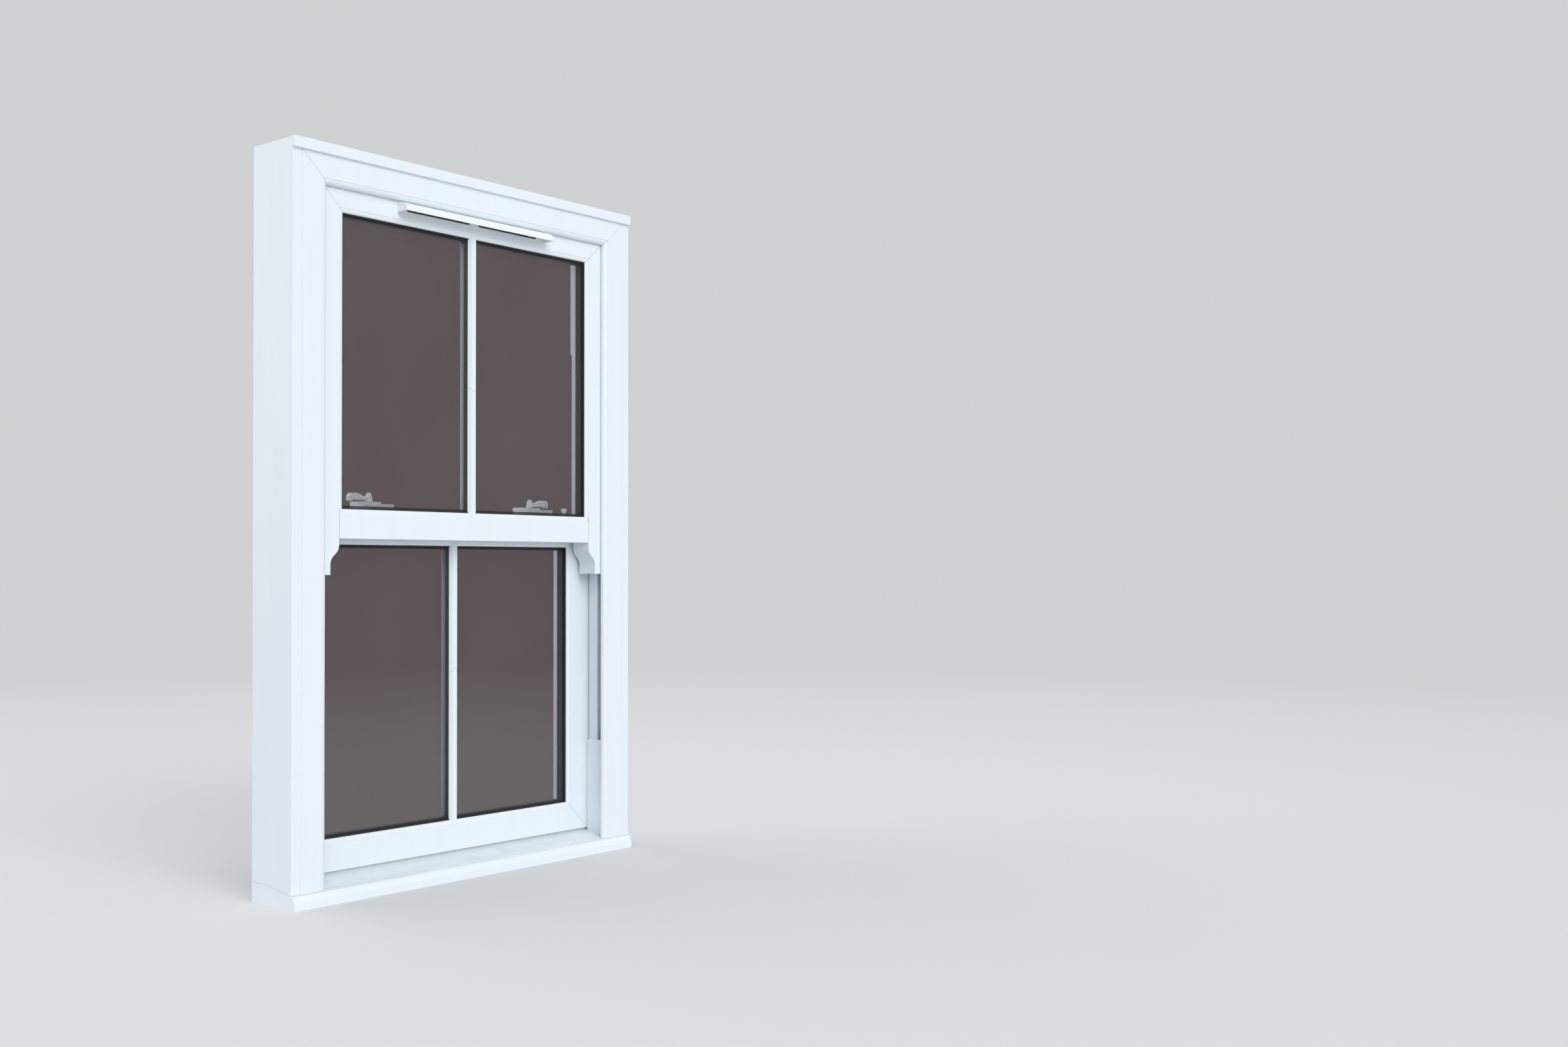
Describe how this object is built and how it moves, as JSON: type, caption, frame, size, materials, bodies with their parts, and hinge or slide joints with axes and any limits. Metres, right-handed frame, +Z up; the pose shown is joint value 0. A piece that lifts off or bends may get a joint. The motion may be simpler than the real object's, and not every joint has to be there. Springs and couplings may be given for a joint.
{
  "type": "sash window",
  "caption": "White vertical sliding sash window with horned upper sash, one upright bar in each double-glazed sash, trickle vent hood, cam catches and a sloping sill.",
  "frame": {"origin": "middle of the flat underside of the sill, half way through the depth of the frame", "axes": "+X along the wall to the right seen from outside, +Y from outside to inside, +Z up"},
  "size_m": [0.92, 0.17, 1.506],
  "materials": {
    "frame_white": "satin extruded PVC-U",
    "sash_white": "satin extruded PVC-U",
    "trim_white": "satin moulded plastic",
    "vent_white": "satin moulded plastic",
    "latch_white": "satin moulded plastic",
    "hardware_white": "gloss white powder coat",
    "glass": "clear float glass",
    "spacer_black": "matt",
    "gasket_black": "matt",
    "foam_grey": "matt foam",
    "pile_grey": "woven pile",
    "shoe_grey": "moulded nylon",
    "steel": "zinc plated"
  },
  "bodies": {
    "frame": {"frame_head": "frame_white", "frame_jamb_left": "frame_white", "frame_jamb_right": "frame_white", "head_cover_strip": "frame_white", "frame_sill": "frame_white", "sill_end_caps": "trim_white", "sill_foam_strip": "foam_grey", "outer_track_stops": "frame_white", "inner_track_stops": "frame_white", "upper_balance_tubes": "trim_white", "lower_balance_tubes": "trim_white", "balance_screws": "steel"},
    "upper_sash": {"upper_stile_left": "sash_white", "upper_stile_right": "sash_white", "upper_top_rail": "sash_white", "upper_meeting_rail": "sash_white", "upper_pane_outer": "glass", "upper_pane_inner": "glass", "upper_glass_spacer": "spacer_black", "upper_gaskets": "gasket_black", "upper_glazing_beads": "sash_white", "upper_bar_outer": "sash_white", "upper_bar_inner": "sash_white", "upper_cavity_bar": "spacer_black", "upper_pile_seals": "pile_grey", "upper_latch_cases": "latch_white", "upper_shoe_left": "shoe_grey", "upper_shoe_right": "shoe_grey", "upper_balance_rods": "steel", "vent_canopy": "vent_white", "vent_end_caps": "vent_white", "vent_body": "vent_white", "catch_keepers": "hardware_white"},
    "lower_sash": {"lower_stile_left": "sash_white", "lower_stile_right": "sash_white", "lower_bottom_rail": "sash_white", "lower_top_rail": "sash_white", "lower_pane_outer": "glass", "lower_pane_inner": "glass", "lower_glass_spacer": "spacer_black", "lower_gaskets": "gasket_black", "lower_glazing_beads": "sash_white", "lower_bar_outer": "sash_white", "lower_bar_inner": "sash_white", "lower_cavity_bar": "spacer_black", "lower_pile_seals": "pile_grey", "lower_latch_cases": "latch_white", "lower_shoe_left": "shoe_grey", "lower_shoe_right": "shoe_grey", "lower_balance_rods": "steel", "catch_housings": "hardware_white", "sash_lifts": "hardware_white"},
    "catch_lever_left": {"catch_lever_left": "hardware_white"},
    "catch_lever_right": {"catch_lever_right": "hardware_white"},
    "upper_latch_bolt_left": {"upper_latch_bolt_left": "latch_white"},
    "upper_latch_bolt_right": {"upper_latch_bolt_right": "latch_white"},
    "lower_latch_bolt_left": {"lower_latch_bolt_left": "latch_white"},
    "lower_latch_bolt_right": {"lower_latch_bolt_right": "latch_white"},
    "vent_shutter": {"vent_shutter": "vent_white"}
  },
  "joints": [
    {"name": "upper_sash_slide", "type": "slide", "parent": "frame", "child": "upper_sash", "axis": [0, 0, -1], "range_m": [0, 0.39]},
    {"name": "lower_sash_slide", "type": "slide", "parent": "frame", "child": "lower_sash", "axis": [0, 0, 1], "range_m": [0, 0.39]},
    {"name": "catch_left_turn", "type": "hinge", "parent": "lower_sash", "child": "catch_lever_left", "pos_m": [-0.222, 0.016, 0.8], "axis": [0, 0, 1], "range_deg": [-90, 0]},
    {"name": "catch_right_turn", "type": "hinge", "parent": "lower_sash", "child": "catch_lever_right", "pos_m": [0.222, 0.016, 0.8], "axis": [0, 0, -1], "range_deg": [-90, 0]},
    {"name": "vent_shutter_slide", "type": "slide", "parent": "upper_sash", "child": "vent_shutter", "axis": [1, 0, 0], "range_m": [0, 0.017]},
    {"name": "upper_latch_left_slide", "type": "slide", "parent": "upper_sash", "child": "upper_latch_bolt_left", "axis": [1, 0, 0], "range_m": [0, 0.009], "stiffness_N_per_m": 400, "springref_m": -0.006},
    {"name": "upper_latch_right_slide", "type": "slide", "parent": "upper_sash", "child": "upper_latch_bolt_right", "axis": [-1, 0, 0], "range_m": [0, 0.009], "stiffness_N_per_m": 400, "springref_m": -0.006},
    {"name": "lower_latch_left_slide", "type": "slide", "parent": "lower_sash", "child": "lower_latch_bolt_left", "axis": [1, 0, 0], "range_m": [0, 0.009], "stiffness_N_per_m": 400, "springref_m": -0.006},
    {"name": "lower_latch_right_slide", "type": "slide", "parent": "lower_sash", "child": "lower_latch_bolt_right", "axis": [-1, 0, 0], "range_m": [0, 0.009], "stiffness_N_per_m": 400, "springref_m": -0.006}
  ]
}
